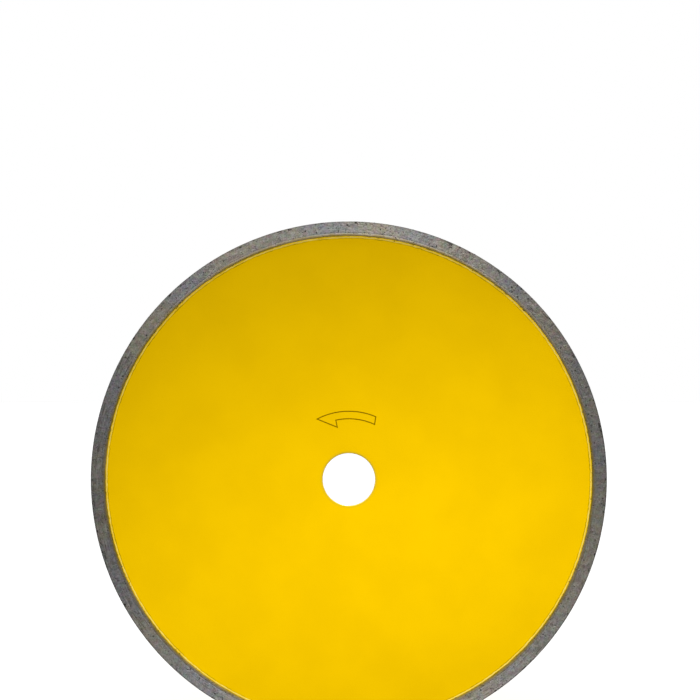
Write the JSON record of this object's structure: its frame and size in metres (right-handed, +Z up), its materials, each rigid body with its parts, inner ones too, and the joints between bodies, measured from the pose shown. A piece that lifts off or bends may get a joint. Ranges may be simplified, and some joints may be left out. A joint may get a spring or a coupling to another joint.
{
  "type": "diamond blade",
  "caption": "Continuous-rim diamond cutting disc: a yellow lacquered steel core with a plain round bore, a sintered grey rim and a rotation arrow on one face.",
  "frame": {"origin": "middle of the arbor bore, on the axis of rotation and in the middle plane of the steel core", "axes": "the disc stands upright in the XZ plane; +Y is its axis of rotation, the face with the arrow looks to -Y, +X is to the right of that face and +Z is up"},
  "size_m": [0.25, 0.0016, 0.25],
  "materials": {
    "core_steel": "turned steel, bare in the bore",
    "silver_solder": "pale silver solder, as flowed",
    "backing_metal": "sintered metal powder, bronze brown",
    "sintered_bond": "sintered metal powder, dressed, fine pores",
    "yellow_lacquer": "satin stoved lacquer on steel",
    "arrow_ink": "thin printed ink line"
  },
  "bodies": {
    "root": {"steel_core": "core_steel", "solder_ring": "silver_solder", "backing_ring": "backing_metal", "diamond_rim": "sintered_bond", "front_lacquer": "yellow_lacquer", "back_lacquer": "yellow_lacquer", "rotation_arrow": "arrow_ink"}
  },
  "joints": []
}
